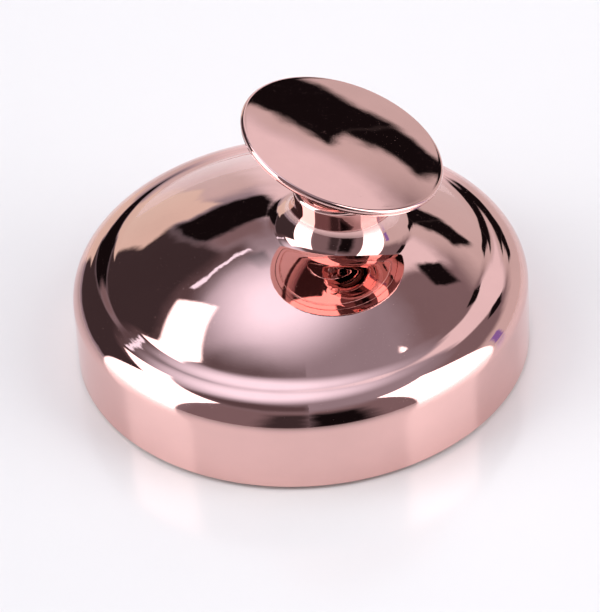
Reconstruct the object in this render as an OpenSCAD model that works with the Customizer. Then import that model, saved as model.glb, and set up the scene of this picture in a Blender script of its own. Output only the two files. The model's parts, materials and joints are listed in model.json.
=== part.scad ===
// Palm-held blackhead vacuum extractor. A mirror-plated dome housing carries a disc grip
// on a short neck. The grip tilts, swivels and presses a switch. A removable suction tip
// sits in the underside, and a small diaphragm pump inside draws air through it.

/* [Housing] */
// Outer radius of the round housing
body_r = 40; // [39:0.5:42]
// Height of the straight side wall above the rest plane
wall_h = 12.4; // [12:0.1:13]
// Wall thickness of the plated shell
shell_t = 1.8; // [1.5:0.1:2]
// Radial width of the rounded outer edge
edge_w = 6.8; // [6.5:0.1:7]
// Height of the rounded outer edge
edge_h = 5.3; // [5:0.1:5.6]
// Radius of the concave band between edge and dome
band_r = 8; // [6:0.5:9]
// Least slope of the concave band, in degrees
band_slope = 9; // [7:0.5:11]
// Slope of the dome where it meets the concave band, in degrees
dome_slope = 30; // [29:0.5:31]

/* [Neck] */
// Offset of the neck axis from the housing axis
neck_x = 7.8; // [7.5:0.1:8.2]
// Outer radius of the neck
neck_r = 8; // [7.4:0.1:8.1]
// Height of the top of the neck
neck_top = 34.6; // [34:0.1:34.8]
// Radius of the flare where the neck meets the dome
flare_r = 4.5; // [3:0.5:5]
// Bore of the neck that holds the bush
neck_bore_r = 5.2; // [5.1:0.1:5.3]

/* [Disc grip] */
// Radius of the disc grip
disc_r = 18.2; // [17:0.1:19]
// Height of the crown of the disc above its rim
disc_crown = 1.2; // [0.8:0.1:1.6]
// Height of the tilt pin
pivot_z = 40.3; // [40.2:0.1:40.6]
// Tilt of the disc at rest, in degrees
rest_tilt = 20; // [10:1:24]
// Radius of the tilt pin
pin_r = 0.8; // [0.7:0.05:0.85]

/* [Press switch] */
// Radius of the sliding plunger
plunger_r = 4.5; // [4.3:0.1:4.5]
// Radial clearance of running fits
run_gap = 0.05; // [0.03:0.01:0.08]
// Height of the underside of the plunger
plunger_z = 18.9; // [18.85:0.05:19]
// Full turns of the return spring
spring_turns = 5; // [4:1:6]

/* [Base] */
// Radius of the base plate
plate_r = 37.5; // [37.3:0.1:37.6]
// Height of the inner face of the base plate
plate_top = 3; // [2.8:0.1:3]
// Inner radius of the well around the suction tip
well_r = 9.4; // [9:0.1:9.6]
// Radius of the circle that the housing screws stand on
screw_circle_r = 31; // [30.5:0.1:31.5]

/* [Suction tip] */
// Radius of the suction mouth
mouth_r = 3; // [2.5:0.1:3.2]
// Outer radius of the suction tip
tip_r = 8; // [7:0.1:8.2]
// Outer radius of the nozzle that carries the tip
nozzle_r = 4; // [3.9:0.05:4.1]

/* [Pump and motor] */
// Offset of the pump and motor axis to the left of the housing axis
pump_x = -21; // [-21.5:0.1:-20.5]
// Height of the motor axis
motor_z = 8.9; // [8.8:0.1:9]
// Radius of the motor can
motor_r = 6; // [5.8:0.1:6]
// Throw of the pump eccentric
throw = 0.6; // [0.4:0.1:0.6]

/* [Electronics] */
// Height of the underside of the circuit board
board_z = 12.05; // [12:0.05:12.1]
// Thickness of the circuit board
board_t = 1.6; // [1.2:0.1:1.6]
// Battery size along X, Y and Z
battery_size = [20, 30, 6];

/* [Hidden] */
$fn = 96;

rose_gold = [0.86, 0.58, 0.54];
steel = [0.72, 0.73, 0.75];
dark = [0.16, 0.16, 0.18];

shell_bottom = 0.6;
edge_r = body_r - edge_w;
edge_turn = atan(tan(band_slope) * edge_w / edge_h);
band_x = edge_r + edge_w * sin(edge_turn) + band_r * sin(band_slope);
band_z = wall_h + edge_h * cos(edge_turn) + band_r * cos(band_slope);
dome_r = (band_x - band_r * sin(dome_slope)) / sin(dome_slope);
dome_z = band_z - (band_r + dome_r) * cos(dome_slope);
inner_r = body_r - shell_t;
boss_z = plate_top + 0.05;
board_top = board_z + board_t;
fork_z = pivot_z - 3.2;
fork_base_z = pivot_z - 4.4;
fork_end_r = 1.75;
cheek_in = 2.75;
cheek_out = 4.55;
spigot_r = 2.4;
clip_z = 28.12;
well_roof = 6.2;
tip_bottom = 0.7;
nozzle_bottom = 3.2;
barb_z = 9.7;
barb_r = 1;
tube_r = 1.8;
head_port_z = 15.1;
head_port_x = pump_x + 3;
motor_y = 1.2;
motor_len = 15;
flat_h = 5;
eccentric_r = 1.9;
battery_x = 13.2;
battery_z = 3.65;
socket_z = 6.6;
board_x = [-4.5, 21.5];
board_y = 19.5;
board_posts = [[3.5, -17.2], [3.5, 17.2], [17.8, -17.2], [17.8, 17.2]];

// Points of an elliptical arc, from angle a0 to angle a1
function arc_points(cx, cz, rx, rz, a0, a1, steps) =
    [for (i = [0 : steps]) let (a = a0 + (a1 - a0) * i / steps) [cx + rx * cos(a), cz + rz * sin(a)]];

// Outline of the dome top at an inward offset t, from the wall to the axis
function top_outline(t) = concat(
    arc_points(edge_r, wall_h, edge_w - t, edge_h - t, 0, 88 - edge_turn, 14),
    arc_points(band_x, band_z, band_r + t, band_r + t, -90 - band_slope, -90 - dome_slope, 6),
    arc_points(0, dome_z, dome_r - t, dome_r - t, 90 - dome_slope + 1.5, 90, 18)
);

// Point at parameter t of a cubic curve through four control points
function bezier(p, t) =
    p[0] * pow(1 - t, 3) + p[1] * 3 * t * pow(1 - t, 2) + p[2] * 3 * t * t * (1 - t) + p[3] * pow(t, 3);

function unit(v) = v / norm(v);

// Ring of points around a path point, square to the direction d
function ring(p, d, r, sides) =
    let (side = unit(cross(d, [0, 0, 1])), up = cross(side, d))
    [for (i = [0 : sides - 1]) p + r * (cos(360 * i / sides) * side + sin(360 * i / sides) * up)];

// Solid swept along a list of path points
module sweep(path, r, sides) {
    last = len(path) - 1;
    dirs = [for (i = [0 : last]) unit(path[min(i + 1, last)] - path[max(i - 1, 0)])];
    points = [for (i = [0 : last]) each ring(path[i], dirs[i], r, sides)];
    walls = [
        for (i = [0 : last - 1], k = [0 : sides - 1])
            let (a = i * sides + k, b = i * sides + (k + 1) % sides)
            [a, b, b + sides, a + sides]
    ];
    start = [for (k = [sides - 1 : -1 : 0]) k];
    end = [for (k = [0 : sides - 1]) last * sides + k];
    polyhedron(points, concat([start], walls, [end]));
}

// Cylinder along Y from y0 to y1
module rod_y(r, y0, y1) {
    translate([0, y1, 0]) rotate([90, 0, 0]) cylinder(r = r, h = y1 - y0);
}

// Tube from z0 to z1
module tube(r_out, r_in, z0, z1) {
    translate([0, 0, z0]) difference() {
        cylinder(r = r_out, h = z1 - z0);
        translate([0, 0, -1]) cylinder(r = r_in, h = z1 - z0 + 2);
    }
}

// Screw with its head below and its shank pointing up from z
module screw_up(head_r, head_h, shank_r, shank_l) {
    difference() {
        cylinder(r = head_r, h = head_h);
        translate([0, 0, -0.1]) cylinder(r = head_r * 0.45, h = head_h * 0.6 + 0.1, $fn = 6);
    }
    translate([0, 0, head_h]) cylinder(r = shank_r, h = shank_l);
}

// Screw with its head on top and its shank pointing down from z
module screw_down(head_r, head_h, shank_r, shank_l) {
    mirror([0, 0, 1]) translate([0, 0, -head_h]) screw_up(head_r, head_h, shank_r, shank_l);
}

// Copies at the four housing screws
module at_housing_screws() {
    for (a = [60, 120, 240, 300]) rotate([0, 0, a]) translate([screw_circle_r, 0, 0]) children();
}

// Frame of the disc grip: origin on the tilt pin, +Z square to the disc
module in_disc_frame() {
    translate([neck_x, 0, pivot_z]) rotate([0, rest_tilt, 0]) children();
}

module at_neck() {
    translate([neck_x, 0, 0]) children();
}

// Flare that runs tangent into the spherical dome around the foot of the neck
module neck_flare() {
    centre_r = neck_r + flare_r;
    centre_z = sqrt(pow(dome_r + flare_r, 2) - pow(centre_r, 2)) - dome_r;
    lean = asin(centre_r / (dome_r + flare_r));
    foot = arc_points(centre_r, centre_z, flare_r, flare_r, 180, 270 - lean, 12);
    translate([0, 0, dome_z]) rotate([0, asin(neck_x / dome_r), 0]) translate([0, 0, dome_r])
        rotate_extrude() polygon(concat(foot, [[foot[12].x, -1.6], [neck_bore_r + 0.5, -1.6],
            [neck_bore_r + 0.5, centre_z]]));
}

module housing_shell() {
    outer = concat([[0, shell_bottom], [body_r - 0.3, shell_bottom], [body_r, shell_bottom + 0.3]],
        top_outline(0));
    inner = concat([[0, shell_bottom - 1], [inner_r, shell_bottom - 1]], top_outline(shell_t));
    color(rose_gold) difference() {
        union() {
            difference() {
                rotate_extrude($fn = 128) polygon(outer);
                rotate_extrude($fn = 128) polygon(inner);
            }
            neck_flare();
            at_neck() rotate_extrude() polygon(concat([[0, 25], [neck_r, 25]],
                arc_points(neck_r - 0.8, neck_top - 0.8, 0.8, 0.8, 0, 90, 6), [[0, neck_top]]));
            intersection() {
                at_neck() translate([0, 0, 22]) cylinder(r = neck_r + 0.8, h = 5);
                translate([0, 0, dome_z]) sphere(r = dome_r - shell_t / 2, $fn = 128);
            }
            at_housing_screws() translate([0, 0, boss_z]) cylinder(r = 2.8, h = 13.6, $fn = 48);
        }
        at_neck() translate([0, 0, 20]) cylinder(r = neck_bore_r, h = 20);
        at_housing_screws() translate([0, 0, boss_z - 1]) cylinder(r = 0.8, h = 8, $fn = 32);
        translate([0, body_r - 4, socket_z]) socket_cutout(0.3, 6);
    }
}

// Rounded slot along Y, larger than the socket by gap all round
module socket_cutout(gap, depth) {
    for (x = [-2.87, 2.87]) translate([x, 0, 0]) rod_y(1.6 + gap, 0, depth);
    translate([-2.87, 0, -1.6 - gap]) cube([5.74, depth, 3.2 + 2 * gap]);
}

module neck_bush() {
    color("white") at_neck() {
        tube(neck_bore_r, plunger_r + run_gap, 21.9, neck_top - 0.4);
        tube(7.6, plunger_r + run_gap, 20.6, 21.95);
    }
}

module base_plate() {
    color(rose_gold) difference() {
        union() {
            translate([0, 0, 0.8]) cylinder(r = plate_r, h = plate_top - 0.8);
            cylinder_from(well_r + 1.2, 2, well_roof + 1.4);
            for (p = board_posts) translate([p.x, p.y, 2]) cylinder(r = 2.2, h = board_z - 2.05, $fn = 40);
            translate([pump_x - 4, 3, 2]) cube([8, 12, motor_z - flat_h - 2.05]);
            translate([-6, 29.5, 2]) cube([12, 7, 2.1]);
        }
        cylinder_from(well_r, 0, well_roof);
        cylinder_from(nozzle_r + 0.05, 0, 9);
        difference() {
            cylinder_from(36.25, 0, 1.6);
            cylinder_from(33.75, -1, 3);
        }
        difference() {
            cylinder_from(plate_r + 1, 1.35, 2.45);
            cylinder_from(36.9, 0, 4);
        }
        at_housing_screws() {
            cylinder_from(1.15, 0, 4);
            cylinder_from(2.05, 0, 1.9);
        }
        for (p = board_posts) translate([p.x, p.y, 5]) cylinder(r = 0.7, h = 10, $fn = 32);
        for (s = [-1, 1]) translate([pump_x + s * 9, 8.6, 1.6]) cylinder(r = 0.7, h = 3, $fn = 32);
        for (i = [-1 : 1]) translate([pump_x - 3, -20 + i * 2.4, 0]) cube([6, 1, 5]);
    }
}

// Cylinder on the housing axis between two heights
module cylinder_from(r, z0, z1) {
    translate([0, 0, z0]) cylinder(r = r, h = z1 - z0);
}

module base_gasket() {
    color("dimgray") rotate_extrude() translate([37.48, 1.9]) circle(r = 0.52, $fn = 32);
}

module foot_ring() {
    color("mistyrose") rotate_extrude() polygon([[33.8, 0.3], [34.1, 0], [35.9, 0], [36.2, 0.3],
        [36.2, 1.58], [33.8, 1.58]]);
}

module base_screws() {
    color(steel) at_housing_screws() translate([0, 0, 0.95]) screw_up(1.9, 0.9, 0.75, 6.5);
}

module nozzle() {
    color("whitesmoke") difference() {
        union() {
            cylinder_from(nozzle_r, nozzle_bottom, 11.6);
            cylinder_from(7, well_roof + 1.45, well_roof + 2.4);
            translate([0, 0, barb_z]) rod_y(barb_r, -10.2, 0);
            translate([0, 0, barb_z]) rod_y(1.75, -6.6, 0);
        }
        cylinder_from(2, 0, barb_z + 0.6);
        cylinder_from(2.7, 0, 4.2);
        tube(6, 2.95, 4.35, 5.45);
        translate([0, 0, barb_z]) rod_y(0.6, -11, 0);
    }
}

module filter_pad() {
    color("white") cylinder_from(2.65, 3.3, 4.15);
}

module tip_seal() {
    color("black") rotate_extrude() translate([3.5, 4.9]) circle(r = 0.53, $fn = 32);
}

module suction_tip() {
    color("gainsboro") rotate_extrude() polygon([
        [mouth_r, tip_bottom + 0.4], [mouth_r + 0.4, tip_bottom], [4.6, tip_bottom],
        [5, tip_bottom + 0.4], [5.4, 2.6], [6.4, 3.5], [tip_r, 4], [tip_r, 5.9],
        [nozzle_r + 0.06, 5.9], [nozzle_r + 0.06, 3.1], [mouth_r, 2.6]
    ]);
}

module air_tube() {
    control = [[0, -7, barb_z], [0, -24, barb_z], [head_port_x, -26, head_port_z], [head_port_x, -10.45, head_port_z]];
    path = [for (i = [0 : 24]) bezier(control, i / 24)];
    past_end = [0, 0.4, 0];
    color("lightgray") difference() {
        sweep(path, tube_r, 12);
        sweep(concat([path[0] + past_end], path, [path[24] + past_end]), barb_r + 0.05, 12);
    }
}

module pump_body() {
    color(dark) difference() {
        translate([pump_x - 7, -10.5, plate_top + 0.05]) cube([14, 11.6, 9.15]);
        translate([pump_x - 5, -8.4, motor_z - 4.6]) cube([10, 7.2, 12]);
        translate([pump_x, 0, motor_z]) rod_y(1.6, -3, 3);
        for (x = [-6, 6], y = [-9.4, -0.4]) translate([pump_x + x, y, 6]) cylinder(r = 0.5, h = 8, $fn = 24);
    }
}

module connecting_rod() {
    color("ivory") translate([pump_x, 0, motor_z]) difference() {
        union() {
            rod_y(3.25, -6.2, -2.9);
            translate([-1.4, -6.2, 2.9]) cube([2.8, 3.3, 12.2 - motor_z - 2.9]);
        }
        rod_y(eccentric_r + throw + 0.12, -7, -2);
    }
}

module diaphragm() {
    color("black") translate([pump_x, -4.6, 12.25]) {
        difference() {
            translate([-6.8, -5.7, 0]) cube([13.6, 11.2, 0.7]);
            for (x = [-6, 6], y = [-4.8, 4.2]) translate([x, y, -1]) cylinder(r = 0.6, h = 3, $fn = 24);
        }
    }
}

module valve_plate() {
    color("ivory") translate([pump_x, -4.6, 13]) difference() {
        translate([-6.8, -5.7, 0]) cube([13.6, 11.2, 0.9]);
        for (x = [-6, 6], y = [-4.8, 4.2]) translate([x, y, -1]) cylinder(r = 0.6, h = 3, $fn = 24);
        for (x = [-3, 3]) translate([x, 0, -1]) cylinder(r = 1, h = 3, $fn = 24);
    }
}

module pump_head() {
    color(dark) translate([pump_x, 0, 0]) difference() {
        union() {
            translate([-6.8, -10.3, 13.95]) cube([13.6, 11.2, 0.9]);
            translate([-5.2, -9.4, 13.95]) cube([10.4, 8.6, 2.3]);
            for (x = [-3, 3]) translate([x, 0, head_port_z]) rod_y(barb_r, -13, -9);
        }
        for (x = [-3, 3]) translate([x, 0, head_port_z]) rod_y(0.6, -14, -4.6);
        for (x = [-3, 3]) translate([x, -4.6, 13]) cylinder(r = 0.8, h = 2.1, $fn = 24);
        for (x = [-6, 6], y = [-9.4, -0.4]) translate([x, y, 13]) cylinder(r = 0.6, h = 3, $fn = 24);
    }
}

module pump_screws() {
    color(steel) for (x = [-6, 6], y = [-9.4, -0.4])
        translate([pump_x + x, y, 14.9]) screw_down(0.85, 0.6, 0.48, 6);
}

module motor_can() {
    color(steel) translate([pump_x, 0, motor_z]) difference() {
        intersection() {
            rod_y(motor_r, motor_y, motor_y + motor_len);
            translate([-10, -5, -flat_h]) cube([20, 40, 2 * flat_h]);
        }
        rod_y(0.8, 0, 7);
    }
}

module motor_end_cap() {
    color("saddlebrown") translate([pump_x, 0, motor_z]) intersection() {
        rod_y(motor_r - 0.4, motor_y + motor_len + 0.02, motor_y + motor_len + 1.6);
        translate([-10, 10, -flat_h + 0.4]) cube([20, 20, 2 * flat_h - 0.8]);
    }
}

module motor_terminals() {
    color("goldenrod") for (x = [-3.4, 3.4])
        translate([pump_x + x - 0.9, motor_y + motor_len + 1.62, motor_z - 0.2]) cube([1.8, 2.2, 0.4]);
}

module motor_shaft() {
    color(steel) translate([pump_x, 0, motor_z]) rod_y(0.75, -6.4, 6.4);
}

module pump_eccentric() {
    color("goldenrod") translate([pump_x, 0, motor_z]) difference() {
        translate([0, 0, throw]) rod_y(eccentric_r, -6.3, -2.8);
        rod_y(0.75, -7, 0);
    }
}

module motor_clamp() {
    span = motor_r + 0.3;
    color(steel) translate([pump_x, 6, 0]) difference() {
        union() {
            translate([-span - 0.8, 0, motor_z + flat_h + 0.05]) cube([2 * span + 1.6, 5, 0.8]);
            for (s = [0, 1]) mirror([s, 0, 0]) {
                translate([span, 0, plate_top + 0.05]) cube([0.8, 5, motor_z + flat_h - plate_top]);
                translate([span, 0, plate_top + 0.05]) cube([4, 5, 0.8]);
            }
        }
        for (s = [-1, 1]) translate([s * 9, 2.6, 0]) cylinder(r = 0.85, h = 6, $fn = 32);
    }
}

module clamp_screws() {
    color(steel) for (s = [-1, 1])
        translate([pump_x + s * 9, 8.6, plate_top + 0.9]) screw_down(1.3, 0.8, 0.65, 2);
}

module battery_cell() {
    b = battery_size;
    color("silver") translate([battery_x, -b.y / 2, battery_z]) {
        translate([0, 1, 1]) cube([b.x, b.y - 2, b.z - 2]);
        translate([1, 1, 0]) cube([b.x - 2, b.y - 2, b.z]);
        translate([2, 0, b.z / 2 - 0.5]) cube([b.x - 4, b.y, 1]);
        for (z = [1, b.z - 1], x = [1, b.x - 1]) translate([x, 0, z]) rod_y(1, 1, b.y - 1, $fn = 32);
    }
}

module battery_pad() {
    color("white") translate([battery_x + 1.5, -13, plate_top + 0.02]) cube([17, 26, 0.6]);
}

module circuit_board() {
    color("seagreen") difference() {
        translate([board_x[0], -board_y, board_z]) cube([board_x[1] - board_x[0], 2 * board_y, board_t]);
        for (p = board_posts) translate([p.x, p.y, board_z - 1]) cylinder(r = 0.9, h = 4, $fn = 32);
        for (s = [-1, 1]) translate([board_x[0], s * board_y, board_z - 1]) rotate([0, 0, 45])
            translate([-5, -5, 0]) cube([10, 10, 4]);
    }
}

module board_screws() {
    color(steel) for (p = board_posts)
        translate([p.x, p.y, board_top + 0.02]) screw_down(1.5, 0.8, 0.65, 5);
}

module board_chips() {
    color(dark) {
        translate([-3, -9, board_top]) cube([3.9, 4.9, 1.2]);
        translate([-3, 5, board_top]) cube([3, 3, 0.9]);
        translate([15, -3.5, board_top]) cube([4.5, 7, 1.6]);
        for (i = [0 : 3]) translate([15 + 1.6 * i, 7, board_top]) cube([0.8, 1.6, 0.6]);
        for (i = [0 : 2]) translate([1 + 1.6 * i, -13.5, board_top]) cube([0.8, 1.6, 0.6]);
    }
}

module socket_board() {
    color("seagreen") translate([-5.5, 29.8, 4.12]) cube([11, 6.6, 0.8]);
}

module charging_socket() {
    color(steel) translate([0, 31.2, socket_z]) difference() {
        socket_cutout(0, 7.2);
        translate([0, 1, 0]) difference() {
            scale([0.9, 1, 0.9]) socket_cutout(-0.1, 8);
            translate([-3.3, -1, -0.35]) cube([6.6, 6.4, 0.7]);
        }
    }
    color(steel) translate([-3.2, 31.6, 4.95]) cube([6.4, 5, 0.3]);
}

module switch_case() {
    color(dark) translate([neck_x, 0, board_top + 0.01]) difference() {
        translate([-3, -3, 0]) cube([6, 6, 3.5]);
        translate([0, 0, 1.6]) cylinder(r = 1.75, h = 3, $fn = 48);
    }
}

module switch_button() {
    color("white") translate([neck_x, 0, board_top + 2.75]) cylinder(r = 1.65, h = plunger_z - 0.1 - board_top - 2.75, $fn = 48);
}

module return_spring() {
    steps = 20 * spring_turns;
    wire_r = 0.35;
    z0 = board_top + wire_r + 0.05;
    z1 = plunger_z - wire_r - 0.05;
    path = [
        for (i = [0 : steps])
            let (a = 360 * spring_turns * i / steps)
            [neck_x + 5.25 * cos(a), 5.25 * sin(a), z0 + (z1 - z0) * i / steps]
    ];
    color(steel) sweep(path, wire_r, 8);
}

module grip_plunger() {
    color("lightgray") at_neck() difference() {
        union() {
            cylinder_from(plunger_r, plunger_z, fork_base_z - 0.4);
            cylinder_from(6.2, plunger_z, plunger_z + 1.4);
        }
        cylinder_from(spigot_r + run_gap, 25, 40);
        cylinder_from(3.4, plunger_z + 2.1, 29);
    }
}

module grip_fork() {
    color(rose_gold) at_neck() difference() {
        union() {
            cylinder_from(6, fork_base_z, fork_z);
            cylinder_from(spigot_r, 27.3, fork_base_z + 0.2);
            for (s = [0, 1]) mirror([0, s, 0]) {
                translate([-fork_end_r, cheek_in, fork_z - 0.2])
                    cube([2 * fork_end_r, cheek_out - cheek_in, pivot_z - fork_z + 0.2]);
                translate([0, 0, pivot_z]) rod_y(fork_end_r, cheek_in, cheek_out);
            }
        }
        translate([0, 0, pivot_z]) rod_y(pin_r + run_gap, -6, 6);
        tube(3, 1.9, clip_z - 0.02, clip_z + 0.58);
    }
}

module fork_circlip() {
    color(steel) at_neck() difference() {
        tube(3.1, 1.93, clip_z, clip_z + 0.56);
        translate([0, -0.9, 27]) cube([5, 1.8, 3]);
    }
}

module swivel_washer() {
    color("goldenrod") at_neck() tube(4.4, 2.5, fork_base_z - 0.36, fork_base_z - 0.03);
}

module friction_washers() {
    color("black") at_neck() translate([0, 0, pivot_z]) for (s = [0, 1]) mirror([0, s, 0]) difference() {
        rod_y(1.7, 2.54, 2.71);
        rod_y(pin_r + 0.1, 2, 3);
    }
}

module grip_disc() {
    rim = 2.1;
    edge = 0.6;
    crown_r = (pow(disc_r - edge, 2) + pow(disc_crown, 2)) / (2 * disc_crown);
    half = asin((disc_r - edge) / crown_r);
    crown = arc_points(0, rim + 1.2 + disc_crown - crown_r, crown_r, crown_r, 90 - half, 90, 16);
    color(rose_gold) in_disc_frame() difference() {
        rotate_extrude($fn = 128) polygon(concat(
            [[0, rim + 0.7], [disc_r - 1.75, rim + 0.7], [disc_r - 1.75, rim], [disc_r - 0.2, rim]],
            arc_points(disc_r - edge, rim + 0.6, edge, edge, -30, 80, 7), crown));
        for (y = [-10, 10]) translate([0, y, 0]) cylinder(r = 0.7, h = 3.75, $fn = 32);
    }
}

module disc_back() {
    color(rose_gold) in_disc_frame() difference() {
        union() {
            cylinder_from(disc_r - 1.8, 2.05, 2.75);
            translate([-1.7, -2.5, 0]) cube([3.4, 5, 2.2]);
            rod_y(1.7, -2.5, 2.5);
        }
        rod_y(pin_r, -3, 3);
        for (y = [-10, 10]) translate([0, y, 0]) cylinder(r = 0.75, h = 4, $fn = 32);
    }
}

module disc_screws() {
    color(rose_gold) in_disc_frame() for (y = [-10, 10]) translate([0, y, 1.44]) screw_up(1.4, 0.6, 0.68, 1.5);
}

module tilt_pin() {
    color(steel) in_disc_frame() rod_y(pin_r, -4.9, 4.9);
}

housing_shell();
neck_bush();
base_plate();
base_gasket();
foot_ring();
base_screws();
nozzle();
filter_pad();
tip_seal();
suction_tip();
air_tube();
pump_body();
connecting_rod();
diaphragm();
valve_plate();
pump_head();
pump_screws();
motor_can();
motor_end_cap();
motor_terminals();
motor_shaft();
pump_eccentric();
motor_clamp();
clamp_screws();
battery_cell();
battery_pad();
circuit_board();
board_screws();
board_chips();
charging_socket();
socket_board();
switch_case();
switch_button();
return_spring();
grip_plunger();
grip_fork();
fork_circlip();
swivel_washer();
friction_washers();
grip_disc();
disc_back();
disc_screws();
tilt_pin();
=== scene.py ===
import json
import math

import bmesh
import bpy
from mathutils import Matrix, Vector


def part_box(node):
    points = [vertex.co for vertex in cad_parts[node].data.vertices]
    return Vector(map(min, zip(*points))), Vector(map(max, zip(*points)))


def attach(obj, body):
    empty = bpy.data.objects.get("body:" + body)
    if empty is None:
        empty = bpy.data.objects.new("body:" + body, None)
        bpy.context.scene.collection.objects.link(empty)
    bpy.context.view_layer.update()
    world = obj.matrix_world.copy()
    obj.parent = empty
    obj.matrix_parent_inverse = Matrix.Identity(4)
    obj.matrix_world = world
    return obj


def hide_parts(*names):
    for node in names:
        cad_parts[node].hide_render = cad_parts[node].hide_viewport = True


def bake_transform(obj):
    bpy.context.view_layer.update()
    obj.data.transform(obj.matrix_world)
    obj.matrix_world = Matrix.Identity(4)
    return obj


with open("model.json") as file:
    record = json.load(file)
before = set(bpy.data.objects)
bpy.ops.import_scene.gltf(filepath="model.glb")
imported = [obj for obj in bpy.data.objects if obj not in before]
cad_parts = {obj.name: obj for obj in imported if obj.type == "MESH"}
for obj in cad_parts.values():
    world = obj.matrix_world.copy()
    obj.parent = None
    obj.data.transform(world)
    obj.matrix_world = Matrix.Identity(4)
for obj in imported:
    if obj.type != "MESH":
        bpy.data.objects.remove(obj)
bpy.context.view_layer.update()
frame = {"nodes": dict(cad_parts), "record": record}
scene = bpy.context.scene

# Lengths in this script are millimetres until a mesh is made
MM = 0.001
TAU = 2 * math.pi

# ---------------------------------------------------------------- sizes from the frame


def box_mm(node):
    low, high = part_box(node)
    return low / MM, high / MM


shell_low, shell_high = box_mm("housing_shell")
bush_low, bush_high = box_mm("neck_bush")
foot_high = box_mm("foot_ring")[1]
tip_low, tip_high = box_mm("suction_tip")
spring_low, spring_high = box_mm("return_spring")
pin_low, pin_high = box_mm("tilt_pin")

BODY_R = shell_high.x
SHELL_BOTTOM = shell_low.z
NECK_TOP = shell_high.z
NECK_X = (bush_low.x + bush_high.x) / 2
PIVOT_Z = (pin_low.z + pin_high.z) / 2

# Housing profile
WALL_H = 12.4
EDGE_W = 6.8
EDGE_H = 5.3
SHELL_T = 1.8
BAND_R = 8.0
BAND_SLOPE = math.radians(9)
DOME_SLOPE = math.radians(30)
EDGE_R = BODY_R - EDGE_W
EDGE_TURN = math.atan(math.tan(BAND_SLOPE) * EDGE_W / EDGE_H)
BAND_X = EDGE_R + EDGE_W * math.sin(EDGE_TURN) + BAND_R * math.sin(BAND_SLOPE)
BAND_Z = WALL_H + EDGE_H * math.cos(EDGE_TURN) + BAND_R * math.cos(BAND_SLOPE)
DOME_EDGE = BAND_X - BAND_R * math.sin(DOME_SLOPE)
DOME_R = DOME_EDGE / math.sin(DOME_SLOPE)
DOME_Z = BAND_Z - (BAND_R + DOME_R) * math.cos(DOME_SLOPE)

# Neck
NECK_R = 8.0
NECK_EDGE = 0.8
FLARE = 4.5
BORE_R = 5.2
BOSS_R = NECK_R + 0.8
BOSS_Z = 22.0

# Disc grip, in its own frame: origin on the pin, +Z square to the disc
REST_TILT = math.radians(20)
DISC_R = 18.2
DISC_RIM = 2.1
DISC_EDGE = 0.6
DISC_CROWN = 1.2

# ---------------------------------------------------------------- shader graphs


class Graph:
    """A few short calls for making shader nodes."""

    def __init__(self, tree):
        self.tree = tree
        tree.nodes.clear()

    def node(self, kind, inputs=(), **props):
        made = self.tree.nodes.new(kind)
        for key, value in props.items():
            setattr(made, key, value)
        for key, value in dict(inputs).items():
            self.put(made.inputs[key], value)
        return made

    def put(self, socket, value):
        if isinstance(value, bpy.types.NodeSocket):
            self.tree.links.new(value, socket)
        else:
            socket.default_value = value

    def math(self, operation, *values):
        return self.node("ShaderNodeMath", dict(enumerate(values)), operation=operation).outputs[0]

    def fit(self, value, low, high, to_low=0.0, to_high=1.0):
        inputs = {0: value, 1: low, 2: high, 3: to_low, 4: to_high}
        return self.node("ShaderNodeMapRange", inputs, interpolation_type="SMOOTHSTEP").outputs[0]

    def mix(self, factor, first, second):
        made = self.node("ShaderNodeMix", {0: factor, 6: first, 7: second}, data_type="RGBA")
        return made.outputs[2]

    def noise(self, vector, scale, detail=3.0, roughness=0.5):
        inputs = {"Vector": vector, "Scale": scale, "Detail": detail, "Roughness": roughness}
        return self.node("ShaderNodeTexNoise", inputs)


def rgba(colour, gain=1.0):
    return (*(part * gain for part in colour), 1.0)


# ---------------------------------------------------------------- studio light

# Light colours of the studio, as seen in the plating
GREY = (0.36, 0.36, 0.42)
MAUVE = (0.24, 0.20, 0.22)
DUSK = (0.12, 0.095, 0.105)
DARK = (0.055, 0.045, 0.05)
BLACK = (0.008, 0.006, 0.007)
BEIGE = (0.85, 0.80, 0.70)
PINK = (0.72, 0.68, 0.68)
CLOTH = (0.98, 0.95, 1.0)
GLOW = (1.35, 1.5, 1.75)
WHITE = (3.0, 3.0, 3.05)
VIOLET = (0.30, 0.20, 0.60)

# Soft boxes, flags and cloths, listed after the directions that the plating mirrors in the camera's view, and
# tuned. A row is azimuth from the back wall towards +X, then elevation, both in degrees as (from, to), then
# the softness of the edge in degrees, and the colour.
# Later rows lie over earlier ones.
STUDIO = (
    ((-181, -78), (58, 80), 7, DUSK),
    ((-181, -118), (-20, 60), 8, MAUVE),
    ((120, 181), (-20, 60), 8, MAUVE),
    ((-181, -158), (-2, 50), 7, DARK),
    ((150, 181), (-2, 50), 7, BLACK),
    ((-78, -24), (5, 47), 2.5, DARK),
    ((-66, -16), (44, 54), 3, DUSK),
    ((14, 88), (-20, 34), 4, PINK),
    ((36, 88), (28, 58), 6, MAUVE),
    ((13, 42), (33, 56), 3, CLOTH),
    ((-16, 16), (-20, 15), 4, PINK),
    ((-5, 15), (-20, 62), 3, CLOTH),
    ((-31, -14), (-12, 19), 1, BEIGE),
    ((-24, -8), (34, 43), 3, MAUVE),
    ((-24, -5), (20, 36), 1.2, BLACK),
    ((-19, -13), (50, 57), 1.5, BLACK),
    ((13, 27), (17, 29.5), 1.0, BLACK),
    ((26, 36), (18, 25.5), 1.0, BLACK),
    ((40, 50), (34, 43), 1.0, BLACK),
    ((-42, -16), (47.4, 48.6), 0.4, GLOW),
    ((74, 82), (2, 22), 1.5, VIOLET),
    ((-118, -48), (46, 59.5), 1, WHITE),
    ((-118, -75), (-25, 50), 1, WHITE),
    ((85, 130), (-25, 62), 1, WHITE),
)
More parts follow.
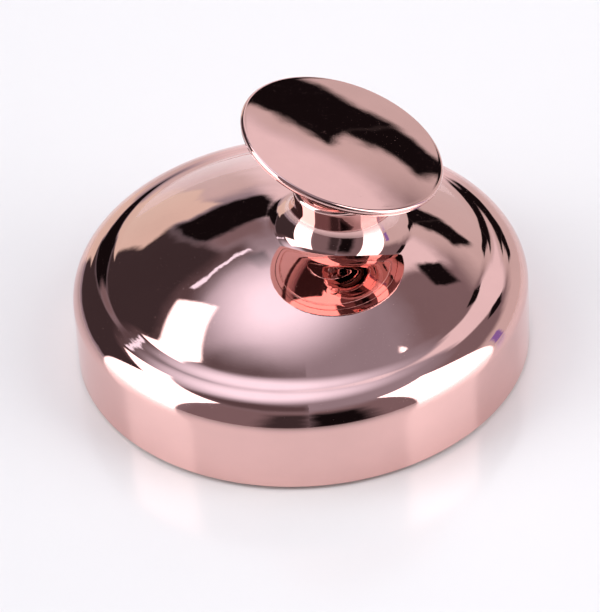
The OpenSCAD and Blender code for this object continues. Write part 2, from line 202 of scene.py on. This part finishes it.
GLOW_AIM = (math.radians(-22), math.radians(72))
GLOW_SPREAD = (math.radians(27), math.radians(4))


def make_world():
    world = bpy.data.worlds.new("studio")
    scene.world = world
    world.use_nodes = True
    graph = Graph(world.node_tree)
    direction = graph.node("ShaderNodeTexCoord").outputs["Generated"]
    axes = graph.node("ShaderNodeSeparateXYZ", {0: direction}).outputs
    wobble = graph.node("ShaderNodeSeparateColor", {0: graph.noise(direction, 5.0, 5.0).outputs[1]})
    sway = math.radians(9)
    azimuth = graph.math("ARCTAN2", axes[0], axes[1])
    elevation = graph.math("ARCSINE", axes[2])
    shift_a = graph.math("MULTIPLY", graph.math("SUBTRACT", wobble.outputs[0], 0.5), sway)
    shift_e = graph.math("MULTIPLY", graph.math("SUBTRACT", wobble.outputs[1], 0.5), sway)
    loose = (graph.math("ADD", azimuth, shift_a), graph.math("ADD", elevation, shift_e))
    firm = (azimuth, elevation)

    def inside(value, low, high, soft):
        rise = graph.fit(value, math.radians(low - soft), math.radians(low + soft))
        drop = graph.fit(value, math.radians(high - soft), math.radians(high + soft), 1.0, 0.0)
        return graph.math("MULTIPLY", rise, drop)

    colour = rgba(GREY)
    for spans in STUDIO:
        (az_0, az_1), (el_0, el_1), soft, tint = spans
        aim = firm if tint is WHITE else loose
        mask = graph.math("MULTIPLY", inside(aim[0], az_0, az_1, soft), inside(aim[1], el_0, el_1, soft))
        colour = graph.mix(mask, colour, rgba(tint))
    # Round glow of the lamp behind the white ceiling cloth
    turn, rise = GLOW_AIM
    aim = (math.sin(turn) * math.cos(rise), math.cos(turn) * math.cos(rise), math.sin(rise))
    facing = graph.node("ShaderNodeVectorMath", {0: direction, 1: aim}, operation="DOT_PRODUCT")
    away = graph.math("ARCCOSINE", facing.outputs["Value"])
    colour = graph.mix(graph.fit(away, *GLOW_SPREAD), colour, rgba(GLOW))
    shade = graph.node("ShaderNodeBackground", {"Color": colour, "Strength": 1.0})
    graph.node("ShaderNodeOutputWorld", {"Surface": shade.outputs[0]})


# ---------------------------------------------------------------- materials


def new_material(name):
    material = bpy.data.materials.new(name)
    material.use_nodes = True
    return material, Graph(material.node_tree)


def close_material(graph, shader):
    graph.node("ShaderNodeOutputMaterial", {"Surface": shader.outputs[0]})


def plated_metal(name, tint, smooth):
    """Mirror plating: faint smudges, fine dust and a very slight waviness."""
    material, graph = new_material(name)
    place = graph.node("ShaderNodeTexCoord").outputs["Object"]
    smudge = graph.noise(place, 90.0, 4.0, 0.6).outputs[0]
    grain = graph.noise(place, 2600.0, 2.0).outputs[0]
    dust = graph.fit(graph.noise(place, 5200.0, 1.0).outputs[0], 0.74, 0.78)
    film = graph.fit(smudge, 0.52, 0.74, smooth, smooth + 0.035)
    rough = graph.math("ADD", film, graph.math("MULTIPLY", dust, 0.25))
    colour = graph.mix(graph.fit(smudge, 0.3, 0.75), rgba(tint, 1.02), rgba(tint, 0.965))
    wave = graph.math("ADD", graph.math("MULTIPLY", grain, 0.2), graph.noise(place, 160.0, 2.0).outputs[0])
    bump = graph.node("ShaderNodeBump", {"Height": wave, "Strength": 0.012, "Distance": 0.0004})
    shader = graph.node("ShaderNodeBsdfPrincipled", {
        "Base Color": colour, "Metallic": 1.0, "Roughness": rough, "Normal": bump.outputs[0]})
    close_material(graph, shader)
    return material


def surface(name, tint, rough, metal=0.0, grain=1800.0, depth=0.05, spread=0.08, stretch=None, **sockets):
    """Moulded, brushed or turned surface: patchy colour, grain in the bump, and worn, lighter edges."""
    material, graph = new_material(name)
    place = graph.node("ShaderNodeTexCoord").outputs["Object"]
    laid = place
    if stretch:
        laid = graph.node("ShaderNodeVectorMath", {0: place, 1: stretch}, operation="MULTIPLY").outputs[0]
    patch = graph.noise(place, 140.0, 4.0, 0.6).outputs[0]
    fine = graph.noise(laid, grain, 3.0).outputs[0]
    rounded = graph.node("ShaderNodeBevel", {"Radius": 0.00012}, samples=3)
    plain = graph.node("ShaderNodeNewGeometry").outputs["Normal"]
    turn = graph.node("ShaderNodeVectorMath", {0: rounded.outputs[0], 1: plain}, operation="DOT_PRODUCT")
    worn = graph.math("MULTIPLY", graph.fit(turn.outputs["Value"], 0.97, 0.78), graph.fit(patch, 0.4, 0.6))
    lighter = tuple(min(1.0, part * 1.35 + 0.03) for part in tint)
    base = graph.mix(graph.fit(patch, 0.3, 0.7), rgba(tint, 1 - spread), rgba(tint, 1 + spread / 2))
    colour = graph.mix(graph.math("MULTIPLY", worn, 0.6), base, rgba(lighter))
    sheen = graph.fit(graph.math("ADD", fine, patch), 0.7, 1.3, max(rough - 0.07, 0.02), rough + 0.09)
    bump = graph.node("ShaderNodeBump", {
        "Height": fine, "Strength": depth, "Distance": 0.0003, "Normal": rounded.outputs[0]})
    shader = graph.node("ShaderNodeBsdfPrincipled", {
        "Base Color": colour, "Metallic": metal, "Roughness": sheen, "Normal": bump.outputs[0], **sockets})
    close_material(graph, shader)
    return material


def cellular(name, tint, rough, cells, depth, metal=0.0):
    """Foam or crinkled foil: cells in the bump, with painted shade that darkens their hollows."""
    material, graph = new_material(name)
    place = graph.node("ShaderNodeTexCoord").outputs["Object"]
    bent = graph.noise(place, cells * 0.5, 2.0)
    shifted = graph.node("ShaderNodeVectorMath", {
        0: bent.outputs[1], 1: (0.0015,) * 3, 2: place}, operation="MULTIPLY_ADD").outputs[0]
    cell = graph.node("ShaderNodeTexVoronoi", {"Vector": shifted, "Scale": cells}).outputs["Distance"]
    # Painted shade: the colour falls to 0.72 of the tint in the low cell hollows of the bump.
    colour = graph.mix(graph.fit(cell, 0.1, 0.8), rgba(tint, 0.72), rgba(tint))
    bump = graph.node("ShaderNodeBump", {"Height": cell, "Strength": depth, "Distance": 0.0002})
    sheen = graph.fit(cell, 0.0, 0.9, rough, rough + 0.08)
    shader = graph.node("ShaderNodeBsdfPrincipled", {
        "Base Color": colour, "Metallic": metal, "Roughness": sheen, "Normal": bump.outputs[0]})
    close_material(graph, shader)
    return material


def circuit(name, tint):
    """Solder resist with raised copper tracks under it."""
    material, graph = new_material(name)
    place = graph.node("ShaderNodeTexCoord").outputs["Object"]
    step = graph.node("ShaderNodeTexVoronoi", {"Vector": place, "Scale": 420.0}, distance="CHEBYCHEV",
                      feature="F1")
    track = graph.fit(step.outputs["Distance"], 0.34, 0.38)
    speck = graph.noise(place, 3000.0, 2.0).outputs[0]
    tracks = graph.mix(track, rgba(tint), rgba((tint[0] * 2.2, tint[1] * 1.5, tint[2] * 1.4)))
    colour = graph.mix(graph.fit(speck, 0.3, 0.7, 0.0, 0.25), tracks, rgba(tint, 0.6))
    height = graph.math("ADD", track, graph.math("MULTIPLY", speck, 0.1))
    bump = graph.node("ShaderNodeBump", {"Height": height, "Strength": 0.35, "Distance": 0.00005})
    shader = graph.node("ShaderNodeBsdfPrincipled", {
        "Base Color": colour, "Roughness": graph.fit(speck, 0.2, 0.8, 0.22, 0.36), "Normal": bump.outputs[0]})
    close_material(graph, shader)
    return material


ROSE_GOLD = (0.80, 0.50, 0.47)
plating = plated_metal("rose_gold_plating", ROSE_GOLD, 0.02)
FINISH = {
    "plated_shell": plating,
    "white_plastic": surface("natural_acetal", (0.80, 0.78, 0.73), 0.42, grain=2600.0),
    "dark_plastic": surface("dark_moulding", (0.035, 0.035, 0.04), 0.48, grain=4200.0, depth=0.2),
    "clear_tip": surface("clear_tip", (0.92, 0.92, 0.93), 0.12, grain=900.0, depth=0.02, spread=0.03,
                         **{"Transmission Weight": 0.9, "IOR": 1.49}),
    "black_rubber": surface("seal_rubber", (0.022, 0.022, 0.023), 0.72, grain=3600.0, depth=0.25),
    "soft_rubber": surface("soft_silicone", (0.66, 0.47, 0.44), 0.58, grain=3200.0, depth=0.12,
                           **{"Subsurface Weight": 0.1, "Subsurface Scale": 0.0006}),
    "filter_foam": cellular("filter_foam", (0.82, 0.82, 0.79), 0.88, 2600.0, 0.9),
    "steel": surface("nickel_steel", (0.60, 0.60, 0.61), 0.27, 1.0, grain=1300.0, depth=0.06,
                     stretch=(1.0, 0.12, 1.0)),
    "brass": surface("turned_brass", (0.72, 0.50, 0.20), 0.25, 1.0, grain=1800.0, depth=0.08,
                     stretch=(1.0, 4.0, 1.0)),
    "battery_foil": cellular("battery_foil", (0.66, 0.67, 0.69), 0.3, 900.0, 0.22, 1.0),
    "board_green": circuit("solder_resist", (0.012, 0.10, 0.045)),
}
wire_red = surface("red_insulation", (0.42, 0.02, 0.02), 0.45, grain=2400.0, depth=0.04)
wire_black = surface("black_insulation", (0.02, 0.02, 0.022), 0.45, grain=2400.0, depth=0.04)
amber_tape = surface("amber_tape", (0.55, 0.24, 0.03), 0.24, grain=900.0, depth=0.08)
solder = surface("bright_solder", (0.70, 0.70, 0.68), 0.22, 1.0, grain=1500.0, depth=0.05)

for part in frame["record"]["subparts"]:
    for place_for in frame["nodes"][part["node"]].material_slots:
        place_for.material = FINISH[part["material_slot"]]


def floor_paint():
    material, graph = new_material("studio_floor")
    place = graph.node("ShaderNodeTexCoord").outputs["Object"]
    cloud = graph.noise(place, 3.0, 3.0).outputs[0]
    colour = graph.mix(cloud, rgba((0.90, 0.885, 0.885)), rgba((0.93, 0.915, 0.915)))
    shader = graph.node("ShaderNodeBsdfPrincipled", {
        "Base Color": colour, "Roughness": 0.16, "Specular IOR Level": 0.8})
    close_material(graph, shader)
    return material


# ---------------------------------------------------------------- mesh makers


def make_piece(name, points, faces, material, body, slot, matrix=None, crease=32.0):
    mesh = bpy.data.meshes.new(name)
    mesh.from_pydata([Vector(p) * MM for p in points], [], faces)
    mesh.validate()
    work = bmesh.new()
    work.from_mesh(mesh)
    bmesh.ops.remove_doubles(work, verts=work.verts, dist=1e-7)
    bmesh.ops.recalc_face_normals(work, faces=work.faces)
    work.to_mesh(mesh)
    work.free()
    if matrix is not None:
        mesh.transform(matrix)
    mesh.shade_smooth()
    mesh.set_sharp_from_angle(angle=math.radians(crease))
    piece = bpy.data.objects.new(name, mesh)
    scene.collection.objects.link(piece)
    mesh.materials.append(material)
    if body:
        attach(piece, body)
    return piece


def loft(rings, closed=False, capped=False):
    """Quads between rings of points, with the last ring joined to the first, or both ends capped."""
    sides = len(rings[0])
    points = [p for ring in rings for p in ring]
    faces = []
    count = len(rings)
    for i in range(count if closed else count - 1):
        a = i * sides
        b = (i + 1) % count * sides
        for k in range(sides):
            n = (k + 1) % sides
            faces.append((a + k, a + n, b + n, b + k))
    if capped:
        faces.append(tuple(range(sides)))
        faces.append(tuple(range((count - 1) * sides, count * sides)))
    return points, faces


def circle(cx, cy, radius, z, sides):
    """Ring of points round a vertical axis; z is a height or a function of x and y."""
    ring = []
    for k in range(sides):
        x = cx + radius * math.cos(TAU * k / sides)
        y = cy + radius * math.sin(TAU * k / sides)
        ring.append((x, y, z(x, y) if callable(z) else z))
    return ring


def revolve(outline, sides=192, cx=0.0, cy=0.0):
    """Solid of revolution from a closed outline of (radius, height) points."""
    thin = 1e-4
    return loft([circle(cx, cy, max(r, thin), z, sides) for r, z in outline], closed=True)


def arc(cx, cz, rx, rz, start, end, steps):
    spread = [start + (end - start) * i / steps for i in range(steps + 1)]
    return [(cx + rx * math.cos(math.radians(a)), cz + rz * math.sin(math.radians(a))) for a in spread]


def cut(piece, cutters, operation="DIFFERENCE"):
    """Applies boolean cutters to a piece and removes them."""
    for cutter in cutters:
        modifier = piece.modifiers.new("cut", "BOOLEAN")
        modifier.operation = operation
        modifier.solver = "EXACT"
        modifier.object = cutter
        graph = bpy.context.evaluated_depsgraph_get()
        mesh = bpy.data.meshes.new_from_object(piece.evaluated_get(graph))
        piece.modifiers.clear()
        piece.data = mesh
        bpy.data.objects.remove(cutter)
    piece.data.shade_smooth()
    piece.data.set_sharp_from_angle(angle=math.radians(32))


def tool(points, faces):
    return make_piece("tool", points, faces, plating, None, None)


def gather(parts):
    """Joins several meshes into one list of points and one of faces."""
    points, faces = [], []
    for new_points, new_faces in parts:
        faces += [tuple(i + len(points) for i in face) for face in new_faces]
        points += new_points
    return points, faces


# ---------------------------------------------------------------- housing shell


def dome_height(x, y, inset=0.0):
    return DOME_Z + math.sqrt((DOME_R - inset) ** 2 - x * x - y * y)


def flare_height(x, y):
    gap = math.hypot(x - NECK_X, y) - NECK_R
    lift = 0.0
    if gap < FLARE:
        lift = FLARE - math.sqrt(max(FLARE ** 2 - (FLARE - max(gap, 0.0)) ** 2, 0.0))
    return dome_height(x, y) + lift


def make_shell():
    sides = 288
    rings = []
    top = arc(NECK_R - NECK_EDGE, NECK_TOP - NECK_EDGE, NECK_EDGE, NECK_EDGE, 90, 0, 8)
    for r, z in [(BORE_R, BOSS_Z), (BORE_R, NECK_TOP - 0.3), (BORE_R + 0.3, NECK_TOP)] + top:
        rings.append(circle(NECK_X, 0, r, z, sides))
    wall_steps = 6
    for i in range(1, wall_steps):
        part = i / wall_steps
        rings.append(circle(NECK_X, 0, NECK_R, lambda x, y: (
            (NECK_TOP - NECK_EDGE) * (1 - part) + flare_height(x, y) * part), sides))
    flare_steps = 22
    for i in range(flare_steps + 1):
        spread = FLARE * (1 - math.cos(math.pi / 2 * i / flare_steps))
        rings.append(circle(NECK_X, 0, NECK_R + spread, flare_height, sides))
    dome_steps = 44
    start_r = NECK_R + FLARE
    for i in range(1, dome_steps):
        part = i / dome_steps
        radius = start_r + (DOME_EDGE - start_r) * part
        rings.append(circle(NECK_X * (1 - part), 0, radius, dome_height, sides))
    steep = math.degrees(DOME_SLOPE)
    shallow = math.degrees(BAND_SLOPE)
    turn = math.degrees(EDGE_TURN)
    outer = arc(BAND_X, BAND_Z, BAND_R, BAND_R, -90 - steep, -90 - shallow, 14)
    outer += arc(EDGE_R, WALL_H, EDGE_W, EDGE_H, 90 - turn, 0, 32)[1:]
    outer += [(BODY_R, WALL_H - 2 * i) for i in range(1, 6)]
    outer += [(BODY_R, SHELL_BOTTOM + 0.3), (BODY_R - 0.3, SHELL_BOTTOM)]
    wide = BAND_R + SHELL_T
    inner = [(BODY_R - SHELL_T, SHELL_BOTTOM)]
    inner += arc(EDGE_R, WALL_H, EDGE_W - SHELL_T, EDGE_H - SHELL_T, 0, 88 - turn, 12)
    inner += arc(BAND_X, BAND_Z, wide, wide, -90 - shallow, -90 - steep, 8)
    for r, z in outer + inner:
        rings.append(circle(0, 0, r, z, sides))
    inner_edge = inner[-1][0]
    inner_steps = 20
    for i in range(1, inner_steps + 1):
        part = 1 - i / inner_steps
        radius = BOSS_R + (inner_edge - BOSS_R) * part
        rings.append(circle(NECK_X * (1 - part), 0, radius, lambda x, y: dome_height(x, y, SHELL_T), sides))
    rings.append(circle(NECK_X, 0, BOSS_R, BOSS_Z, sides))
    points, faces = loft(rings, closed=True)
    return make_piece("shell_skin", points, faces, plating, "housing", "plated_shell")


def slot_outline(half_w, half_h, sides=24):
    """Points of a rounded slot in X and Z."""
    outline = []
    for k in range(sides):
        turn = TAU * k / sides
        side = 1 if math.cos(turn) > 0 else -1
        outline.append((side * (half_w - half_h) + half_h * math.cos(turn), half_h * math.sin(turn)))
    return outline


def prism_y(outline, cx, cz, y0, y1):
    """Straight solid along Y with an outline of (x, z) points."""
    return loft([[(cx + x, y, cz + z) for x, z in outline] for y in (y0, y1)], capped=True)


shell = make_shell()
socket_low, socket_high = box_mm("charging_socket")
socket_half_h = 1.6
socket_z = socket_high.z - socket_half_h
socket_half_w = socket_high.x
inlet = slot_outline(socket_half_w + 0.3, socket_half_h + 0.3, 48)
screws_high = box_mm("base_screws")[1]
SCREW_HEAD_R = 1.9
SCREW_CIRCLE_R = (screws_high.x - SCREW_HEAD_R) / math.cos(math.radians(60))
screw_spots = []
for spoke in (60, 120, 240, 300):
    aim = math.radians(spoke)
    screw_spots.append((SCREW_CIRCLE_R * math.cos(aim), SCREW_CIRCLE_R * math.sin(aim)))
SCREW_BOSS_R = 2.8
SCREW_HOLE_R = 0.8
BOSS_LOW = 3.05
BOSS_TOP = 16.65
boss_outline = [(0, BOSS_LOW), (SCREW_BOSS_R, BOSS_LOW), (SCREW_BOSS_R, BOSS_TOP), (0, BOSS_TOP)]
bosses = [tool(*revolve(boss_outline, 40, *spot)) for spot in screw_spots]
cut(shell, bosses, "UNION")
hole_outline = [(0, 1), (SCREW_HOLE_R, 1), (SCREW_HOLE_R, 10), (0, 10)]
holes = [tool(*revolve(hole_outline, 24, *spot)) for spot in screw_spots]
cut(shell, holes + [tool(*prism_y(inlet, 0, socket_z, BODY_R - 4, BODY_R + 2))])
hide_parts("housing_shell")

# ---------------------------------------------------------------- disc grip

disc_frame = Matrix.Translation(Vector((NECK_X, 0, PIVOT_Z)) * MM) @ Matrix.Rotation(REST_TILT, 4, "Y")


def make_disc():
    flat_r = DISC_R - DISC_EDGE
    crown_r = (flat_r ** 2 + DISC_CROWN ** 2) / (2 * DISC_CROWN)
    half = math.degrees(math.asin(flat_r / crown_r))
    back_r = DISC_R - 1.75
    outline = [(0, DISC_RIM + 0.7), (back_r, DISC_RIM + 0.7), (back_r, DISC_RIM), (DISC_R - 0.2, DISC_RIM)]
    outline += arc(DISC_R - DISC_EDGE, DISC_RIM + 0.6, DISC_EDGE, DISC_EDGE, -60, 90 - half, 12)
    crown_z = DISC_RIM + 1.2 + DISC_CROWN - crown_r
    outline += arc(0, crown_z, crown_r, crown_r, 90 - half, 90, 40)
    points, faces = revolve(outline, 256)
    piece = make_piece("grip_face", points, faces, plating, "grip_head", "plated_shell", disc_frame)
    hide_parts("grip_disc")


def make_disc_back():
    """Plated back plate with a shallow stepped rim and the hinge lug in its middle."""
    plate_r = DISC_R - 1.8
    low = DISC_RIM - 0.05
    high = DISC_RIM + 0.65
    outline = [(0, high), (plate_r - 0.1, high), (plate_r, high - 0.1), (plate_r, low + 0.2),
               (plate_r - 0.2, low)]
    for step_r in (plate_r - 1.6, 6.6):
        outline += [(step_r + 0.25, low), (step_r + 0.1, low + 0.12), (step_r - 0.1, low + 0.12),
                    (step_r - 0.25, low)]
    outline.append((0, low))
    plate = make_piece("grip_underside", *revolve(outline, 192), plating, "grip_head", "plated_shell")
    lug_r = 1.7
    turns = [math.radians(a) for a in range(180, 361, 10)]
    lug = [(lug_r * math.cos(a), lug_r * math.sin(a)) for a in turns]
    lug += [(lug_r, DISC_RIM + 0.2), (-lug_r, DISC_RIM + 0.2)]
    rings = [[(x * k, y, z * k if z < 0 else z) for x, z in lug]
             for y, k in ((-2.5, 0.93), (-2.38, 1.0), (2.38, 1.0), (2.5, 0.93))]
    cut(plate, [tool(*loft(rings, capped=True))], "UNION")
    holes = [tool(*revolve([(0, 0), (0.75, 0), (0.75, 4), (0, 4)], 24, 0, y)) for y in (-10, 10)]
    pin_hole = slot_outline(0.8, 0.8, 32)
    cut(plate, holes + [tool(*prism_y(pin_hole, 0, 0, -3, 3))])
    plate.data.transform(disc_frame)
    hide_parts("disc_back")


make_disc()
make_disc_back()

# ---------------------------------------------------------------- underside


def make_tip():
    """Clear suction tip: rolled lip, conical skirt and a ribbed collar to pull it off by."""
    mouth_r = 3.0
    low = tip_low.z
    outer_r = tip_high.x
    bore_r = 4.06
    lip = arc(3.8, low + 0.8, 0.8, 0.8, 180, 360, 14)
    outline = [(mouth_r, 2.6)] + lip + [(4.75, 2.0), (5.4, 2.6), (6.2, 3.4), (outer_r - 0.5, 4.0)]
    for i in range(3):
        z = 4.15 + 0.6 * i
        outline += [(outer_r, z), (outer_r, z + 0.25), (outer_r - 0.18, z + 0.32), (outer_r - 0.18, z + 0.5)]
    outline += [(outer_r - 0.2, tip_high.z), (bore_r, tip_high.z), (bore_r, 3.1)]
    piece = make_piece("tip", *revolve(outline, 144), FINISH["clear_tip"], "tip", "clear_tip")
    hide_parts("suction_tip")


def make_foot():
    """Soft foot ring with a rounded tread and fine radial grip notches."""
    sides = 360
    inner_r = foot_high.x - 2.4
    outer_r = foot_high.x
    top = foot_high.z
    outline = [(inner_r, top), (inner_r, 0.35), (inner_r + 0.3, 0.06), (inner_r + 0.7, 0.0),
               (outer_r - 0.7, 0.0), (outer_r - 0.3, 0.06), (outer_r, 0.35), (outer_r, top)]
    rings = []
    for r, z in outline:
        ring = circle(0, 0, r, z, sides)
        if z < 0.01:
            ring = [(x, y, 0.1 if k % 6 in (0, 1) else 0.0) for k, (x, y, _) in enumerate(ring)]
        rings.append(ring)
    piece = make_piece("foot", *loft(rings, closed=True), FINISH["soft_rubber"], "housing", "soft_rubber")
    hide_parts("foot_ring")


make_tip()
make_foot()

# ---------------------------------------------------------------- swept pieces


def sweep(path, radius, sides=16, hollow=0.0):
    """Tube or rod along a path, with a frame carried along it so that it never twists."""
    path = [Vector(p) for p in path]
    last = len(path) - 1
    side = None
    frames = []
    for i, point in enumerate(path):
        along = (path[min(i + 1, last)] - path[max(i - 1, 0)]).normalized()
        if side is None:
            side = along.orthogonal().normalized()
        side = (side - along * side.dot(along)).normalized()
        frames.append((point, side, along.cross(side)))

    def ring(frame_at, r):
        centre, a, b = frame_at
        return [tuple(centre + a * r * math.cos(TAU * k / sides) + b * r * math.sin(TAU * k / sides))
                for k in range(sides)]

    outer = [ring(f, radius) for f in frames]
    if hollow:
        return loft(outer + [ring(f, hollow) for f in reversed(frames)], closed=True)
    return loft(outer, capped=True)


def curve(points, steps=40):
    """Smooth path through control points, as one Bezier curve."""
    degree = len(points) - 1
    path = []
    for i in range(steps + 1):
        t = i / steps
        spot = Vector((0, 0, 0))
        for k, point in enumerate(points):
            spot += Vector(point) * (math.comb(degree, k) * t ** k * (1 - t) ** (degree - k))
        path.append(spot)
    return path


def make_spring():
    turns = 5
    wire_r = 0.35
    coil_r = (spring_high.y - spring_low.y) / 2 - wire_r
    low = spring_low.z + wire_r
    high = spring_high.z - wire_r
    steps = 48 * turns
    path = []
    for i in range(steps + 1):
        part = i / steps
        aim = TAU * turns * part
        path.append((NECK_X + coil_r * math.cos(aim), coil_r * math.sin(aim), low + (high - low) * part))
    spring = make_piece("spring", *sweep(path, wire_r, 12), FINISH["steel"], None, None)
    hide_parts("return_spring")
    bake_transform(spring)


TUBE_R = 1.8
TUBE_BORE_R = 1.05
LEAD_R = 0.42
BARB_Z = 9.7
HEAD_PORT_Z = 15.1
PUMP_X = box_mm("pump_head")[0].x + 6.8
tube_path = curve([(0, -7, BARB_Z), (0, -24, BARB_Z), (PUMP_X + 3, -26, HEAD_PORT_Z),
                   (PUMP_X + 3, -10.45, HEAD_PORT_Z)], 48)
tube_mesh = sweep(tube_path, TUBE_R, 24, TUBE_BORE_R)
tube = make_piece("vacuum_tube", *tube_mesh, FINISH["soft_rubber"], "housing", "soft_rubber")
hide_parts("air_tube")
make_spring()

board_low, board_high = box_mm("circuit_board")
cell_low, cell_high = box_mm("battery_cell")
motor_high = box_mm("motor_terminals")[1]
lead_z = board_high.z + 0.35


def make_lead(name, points, material):
    make_piece(name, *sweep(curve(points), LEAD_R, 12), material, "housing", "dark_plastic")


# Motor leads run behind the motor and up over the board's left edge
for side, material in ((-1, wire_red), (1, wire_black)):
    x = PUMP_X + 3.4 * side
    label = "red" if side < 0 else "black"
    y = motor_high.y - 0.6
    make_lead("motor_lead_" + label, [
        (x, y, motor_high.z + LEAD_R), (x, y + 4.5, motor_high.z + 1), (x + 5, y + 4, lead_z + 1.6),
        (-9, 15 + 1.4 * side, lead_z + 2.2), (board_low.x + 2.4, 12 + 1.2 * side, lead_z + 0.15)], material)
    # Battery leads leave the cell's rear end and come up in front of the charging socket
    x = cell_low.x + 3 + 1.6 * side
    y = cell_high.y
    make_lead("battery_lead_" + label, [
        (x, y - 0.4, 6.4), (x, y + 4.5, 6.4), (x - 1, y + 7, 11), (x - 1.5, y + 7.5, lead_z + 2),
        (x - 2, board_high.y - 1.6, lead_z + 0.15)], material)
    x = 2.2 * side
    make_lead("socket_lead_" + label, [
        (x, 30.4, 5.4), (x, 28.6, 6.6), (x, 24, 9), (x, 23, lead_z + 2.4),
        (x + 1, board_high.y - 1.4, lead_z + 0.15)], material)


def make_solder():
    """Solder joints under every lead end, as small domed cones."""
    spots = [(board_low.x + 2.4, 12 + 1.2 * s) for s in (-1, 1)]
    spots += [(cell_low.x + 1 + 1.6 * s, board_high.y - 1.6) for s in (-1, 1)]
    spots += [(2.2 * s + 1, board_high.y - 1.4) for s in (-1, 1)]
    profile = ((0, 0.01), (0.8, 0.01), (0.55, 0.2), (0.35, 0.45), (0, 0.55))
    outline = [(r, board_high.z + z) for r, z in profile]
    cones = [revolve(outline, 20, cx, cy) for cx, cy in spots]
    make_piece("solder_joints", *gather(cones), solder, "housing", "steel")


def make_chip_legs():
    """Bent legs along the two long sides of the main chip."""
    legs = []
    chip_x = (15.0, 19.5)
    for i in range(5):
        y = -2.6 + 1.3 * i
        for side, x in ((-1, chip_x[0]), (1, chip_x[1])):
            path = [(x, board_high.z + 0.8), (x + 0.4 * side, board_high.z + 0.8),
                    (x + 0.6 * side, board_high.z + 0.14), (x + 1.0 * side, board_high.z + 0.1)]
            ring = [[(px, y - 0.2, pz), (px, y + 0.2, pz), (px, y + 0.2, pz - 0.09), (px, y - 0.2, pz - 0.09)]
                    for px, pz in path]
            legs.append(loft(ring, capped=True))
    make_piece("chip_legs", *gather(legs), solder, "housing", "steel")


def make_tape():
    """Amber tape round the connector end of the cell."""
    gap = 0.05
    half_w = (cell_high.x - cell_low.x) / 2 + gap
    half_h = (cell_high.z - cell_low.z) / 2 + gap
    cx = (cell_high.x + cell_low.x) / 2
    cz = (cell_high.z + cell_low.z) / 2
    corner = 1.0 + gap
    loop = []
    for quarter, (sx, sz) in enumerate(((1, 1), (-1, 1), (-1, -1), (1, -1))):
        for a in range(0, 91, 15):
            aim = math.radians(90 * quarter + a)
            loop.append((cx + sx * (half_w - corner) + corner * math.cos(aim),
                         cz + sz * (half_h - corner) + corner * math.sin(aim)))
    thin = 1 - 0.08 / half_w
    inner = [(cx + (x - cx) * thin, cz + (z - cz) * thin) for x, z in loop]
    y0 = cell_high.y - 5.0
    y1 = cell_high.y - 0.6
    rings = [[(x, y, z) for x, z in path] for path, y in ((loop, y0), (loop, y1), (inner, y1), (inner, y0))]
    make_piece("cell_tape", *loft(rings, closed=True), amber_tape, "housing", "dark_plastic")


def make_socket_tongue():
    """Dark insert with two rows of contacts inside the charging inlet."""
    points, faces = prism_y([(-3.1, -0.32), (3.1, -0.32), (3.1, 0.32), (-3.1, 0.32)], 0, socket_z,
                            socket_low.y + 2.0, socket_low.y + 6.3)
    make_piece("inlet_tongue", points, faces, FINISH["dark_plastic"], "housing", "dark_plastic")
    pads = []
    for i in range(8):
        x = -2.45 + 0.7 * i
        for side in (-1, 1):
            z = socket_z + side * 0.34
            pad = [(x - 0.2, z - 0.04), (x + 0.2, z - 0.04), (x + 0.2, z + 0.04), (x - 0.2, z + 0.04)]
            pads.append(prism_y(pad, 0, 0, socket_low.y + 2.6, socket_low.y + 6.0))
    make_piece("inlet_contacts", *gather(pads), FINISH["brass"], "housing", "brass")


make_solder()
make_chip_legs()
make_tape()
make_socket_tongue()

# ---------------------------------------------------------------- camera and floor

VIEW_RISE = math.radians(39.5)
VIEW_ROLL = math.radians(3.8)
VIEW_GAP = 20 * BODY_R * MM
# Share of the picture's width that the radius of the housing takes
BODY_SHARE = 0.3783
SENSOR = 36.0


def make_camera():
    data = bpy.data.cameras.new("camera")
    data.sensor_width = SENSOR
    data.sensor_fit = "HORIZONTAL"
    data.lens = SENSOR * BODY_SHARE * VIEW_GAP / (BODY_R * MM)
    data.clip_start = 0.01
    data.clip_end = 20
    back = Vector((0, -math.cos(VIEW_RISE), math.sin(VIEW_RISE)))
    up = Vector((0, math.sin(VIEW_RISE), math.cos(VIEW_RISE)))
    right = Vector((1, 0, 0))
    image_right = right * math.cos(VIEW_ROLL) - up * math.sin(VIEW_ROLL)
    image_up = right * math.sin(VIEW_ROLL) + up * math.cos(VIEW_ROLL)
    aim = Vector((-0.0077, 0, 0.195)) * BODY_R * MM
    place = aim + back * VIEW_GAP
    camera = bpy.data.objects.new("camera", data)
    scene.collection.objects.link(camera)
    turn = Matrix((image_right, image_up, back)).transposed().to_4x4()
    camera.matrix_world = Matrix.Translation(place) @ turn
    scene.camera = camera


def make_floor():
    reach = 1500.0
    steps = 24
    rings = [circle(0, 0, max(reach * (i / steps) ** 2, 0.01), 0.0, 96) for i in range(steps + 1)]
    points, faces = loft(rings)
    floor = make_piece("studio_floor", points, faces, floor_paint(), None, None)


def make_sun():
    """Wide soft key that lifts the pale floor and is left out of the mirror reflections."""
    data = bpy.data.lights.new("soft_key", "SUN")
    data.energy = 0.55
    data.angle = math.radians(60)
    key = bpy.data.objects.new("soft_key", data)
    key.rotation_euler = (math.radians(28), math.radians(-22), 0)
    key.visible_glossy = False
    scene.collection.objects.link(key)


make_camera()
make_floor()
make_world()
make_sun()
scene.view_settings.view_transform = "Standard"
